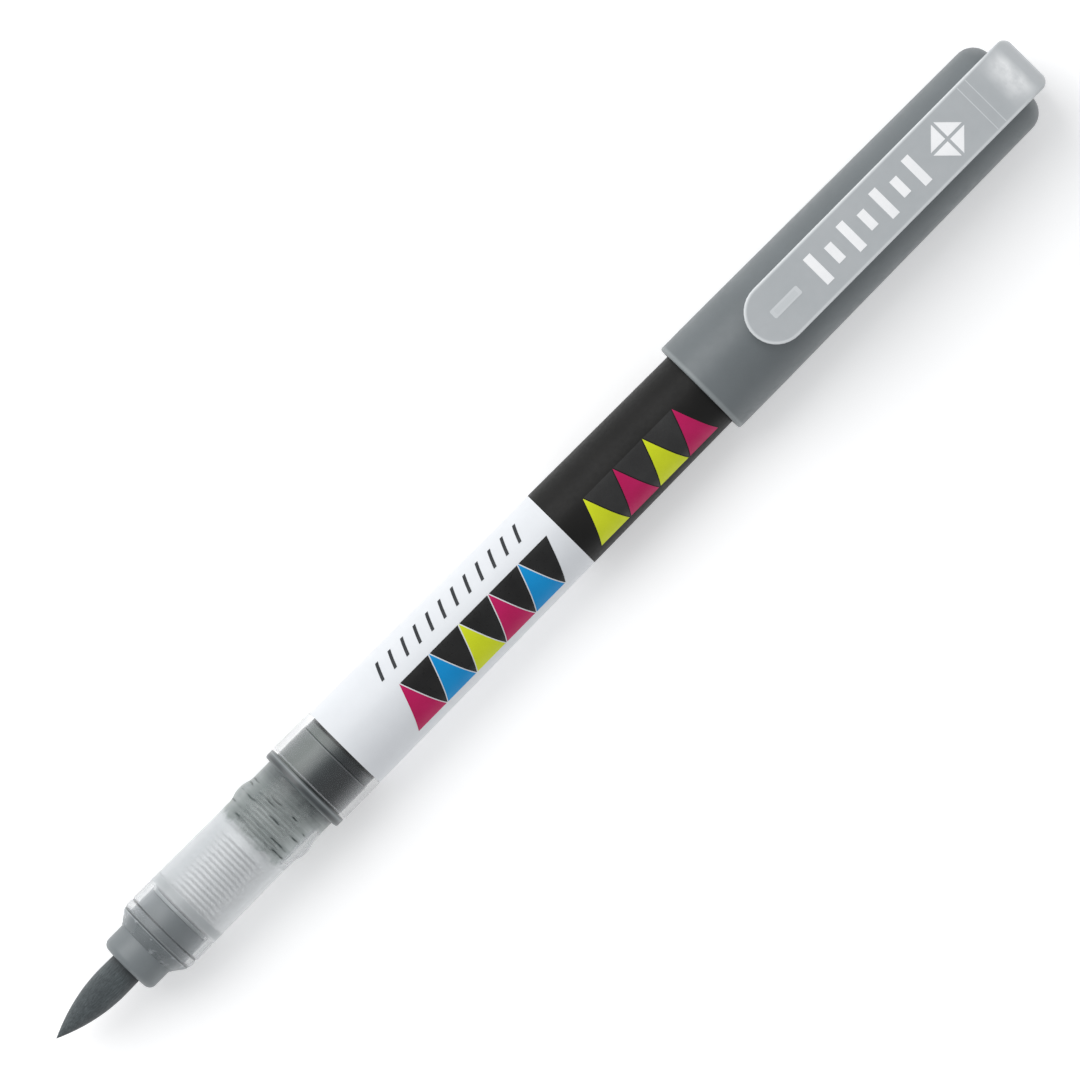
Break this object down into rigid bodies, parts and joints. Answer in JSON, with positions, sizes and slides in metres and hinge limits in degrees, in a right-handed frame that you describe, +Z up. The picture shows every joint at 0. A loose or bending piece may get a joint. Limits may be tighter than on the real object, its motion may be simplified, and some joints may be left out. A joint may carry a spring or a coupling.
{
  "type": "brush calligraphy marker",
  "caption": "Free-ink brush calligraphy marker: flexible fibre nib, clear grip over an ink comb, labelled barrel, and a clip cap posted on the tail.",
  "frame": {"origin": "bottom centre of the marker's box, as it lies with its clip up: half its length, on its midplane, at the lowest line of the cap's mouth band", "axes": "+X along the pen from the nib to the cap's end, +Z up on the clip's side, +Y across the pen"},
  "size_m": [0.164, 0.0132, 0.0153],
  "materials": {
    "nib_fibre": "dark grey ink-soaked fibre, dull",
    "wick_fibre": "ink-soaked fibre, dull",
    "collar_plastic": "satin grey",
    "clear_plastic": "clear, slightly frosted",
    "comb_plastic": "pale, translucent",
    "label_film": "printed satin film",
    "ink": "liquid grey pigment ink",
    "ball_steel": "polished",
    "plug_plastic": "satin dark grey",
    "cap_plastic": "satin grey",
    "liner_plastic": "natural, dull",
    "clip_plastic": "frosted translucent grey"
  },
  "bodies": {
    "pen": {"brush_nib_stem": "nib_fibre", "nib_collar": "collar_plastic", "grip_section": "clear_plastic", "comb_feed": "comb_plastic", "feed_wick": "wick_fibre", "barrel": "clear_plastic", "barrel_label": "label_film", "ink_charge": "ink", "tail_plug": "plug_plastic"},
    "nib_tip": {"brush_nib_tip": "nib_fibre"},
    "ball": {"mixing_ball": "ball_steel"},
    "cap_carrier": {"cap_liner": "liner_plastic"},
    "cap": {"cap_shell": "cap_plastic", "clip_crown": "clip_plastic"},
    "clip": {"clip_blade": "clip_plastic"}
  },
  "joints": [
    {"name": "cap_pull", "type": "slide", "parent": "pen", "child": "cap_carrier", "axis": [1, 0, 0], "range_m": [0, 0.03]},
    {"name": "cap_turn", "type": "hinge", "parent": "cap_carrier", "child": "cap", "pos_m": [0.05, 0, 0.00665], "axis": [1, 0, 0], "continuous": true},
    {"name": "clip_flex", "type": "hinge", "parent": "cap", "child": "clip", "pos_m": [0.07568, 0, 0.01465], "axis": [0, 1, 0], "range_deg": [0, 7], "stiffness_Nm_per_rad": 0.125},
    {"name": "nib_flex", "type": "hinge", "parent": "pen", "child": "nib_tip", "pos_m": [-0.07013, 0, 0.00665], "axis": [0, 1, 0], "range_deg": [-18, 18], "stiffness_Nm_per_rad": 0.017},
    {"name": "ball_travel", "type": "slide", "parent": "pen", "child": "ball", "axis": [1, 0, 0], "range_m": [-0.012, 0.061]}
  ]
}
